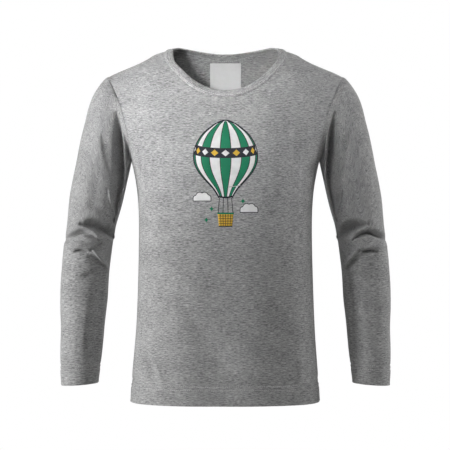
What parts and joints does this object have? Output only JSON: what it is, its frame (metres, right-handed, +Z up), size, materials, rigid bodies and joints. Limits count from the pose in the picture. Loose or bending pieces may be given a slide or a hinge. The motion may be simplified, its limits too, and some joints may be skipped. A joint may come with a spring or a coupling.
{
  "type": "long-sleeved t-shirt",
  "caption": "Child's long-sleeved crew-neck T-shirt in grey marl jersey with a printed hot-air balloon on the chest, shaped as worn.",
  "frame": {"origin": "midway between the two points where the shoulders meet the neck, on the wearer's axis", "axes": "+Z up along the wearer, -Y to the wearer's front, +X to the wearer's left"},
  "size_m": [0.4798, 0.1835, 0.5157],
  "materials": {
    "jersey": "grey marl cotton single jersey",
    "rib": "grey marl cotton rib knit",
    "label": "woven satin label, blank",
    "print": "screen print in green, white, navy and gold"
  },
  "bodies": {
    "root": {"front_panel": "jersey", "back_panel": "jersey", "left_sleeve": "jersey", "right_sleeve": "jersey", "left_forearm_sleeve": "jersey", "right_forearm_sleeve": "jersey", "neck_rib": "rib", "bottom_hem": "jersey", "left_cuff_hem": "jersey", "right_cuff_hem": "jersey", "neck_label": "label", "chest_print": "print"}
  },
  "joints": []
}
